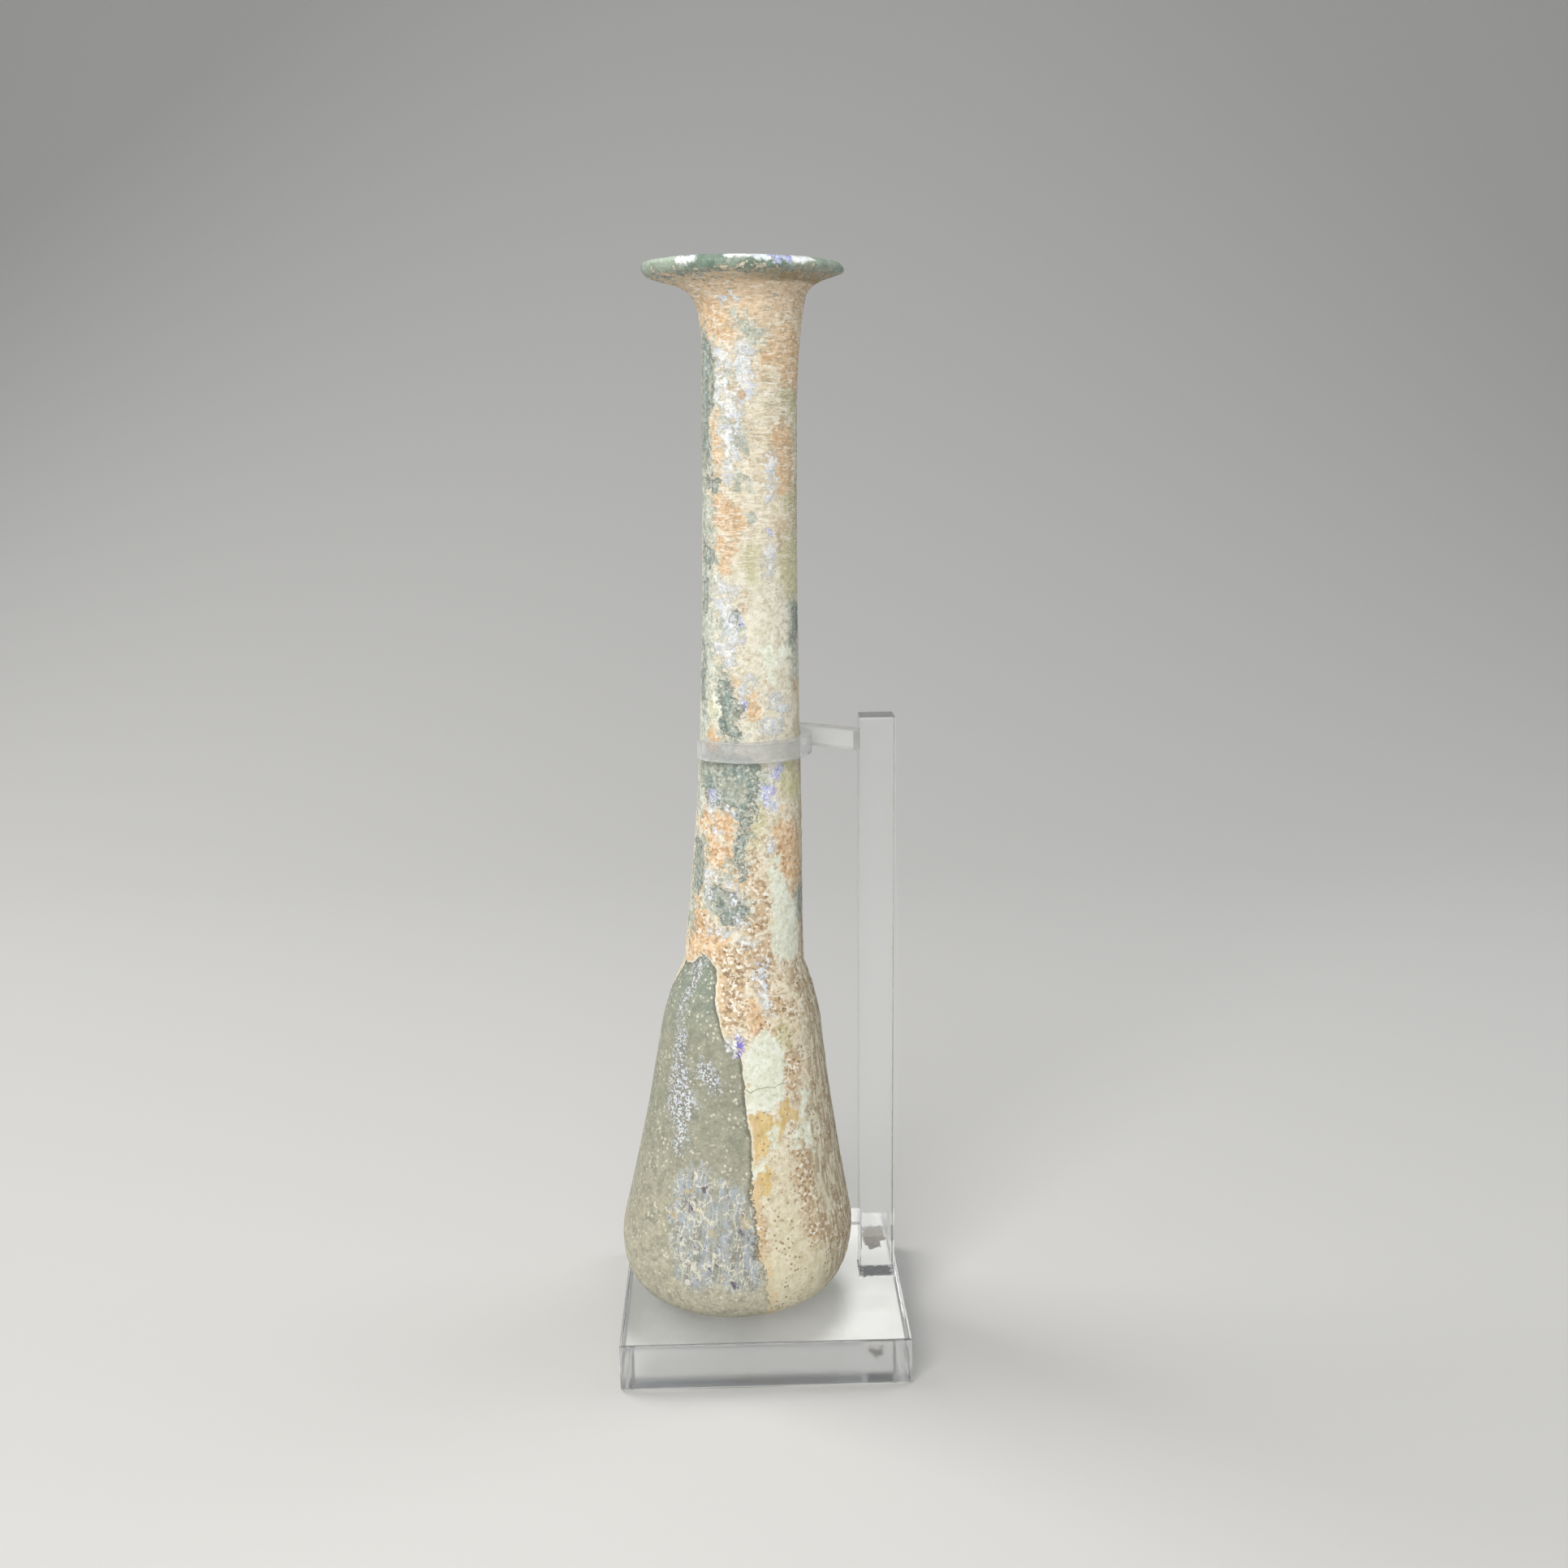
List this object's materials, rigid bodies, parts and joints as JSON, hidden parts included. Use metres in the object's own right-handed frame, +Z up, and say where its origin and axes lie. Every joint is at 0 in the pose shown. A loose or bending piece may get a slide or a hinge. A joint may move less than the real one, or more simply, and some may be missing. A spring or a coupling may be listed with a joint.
{
  "type": "glass unguentarium",
  "caption": "Tall free-blown glass flask with a flared rim, long slim neck and pear-shaped body, weathered, steadied on a clear acrylic plate, post and neck clip.",
  "frame": {"origin": "middle of the base plate's underside", "axes": "+X along the plate's front edge towards the post, +Y to the back, +Z up"},
  "size_m": [0.0482, 0.048, 0.1796],
  "materials": {
    "weathered_glass": "pitted crust and iridescent flakes over pale green glass",
    "clear_acrylic": "polished, clear"
  },
  "bodies": {
    "root": {"unguentarium": "weathered_glass", "base_plate": "clear_acrylic", "upright_post": "clear_acrylic", "neck_clip": "clear_acrylic"}
  },
  "joints": []
}
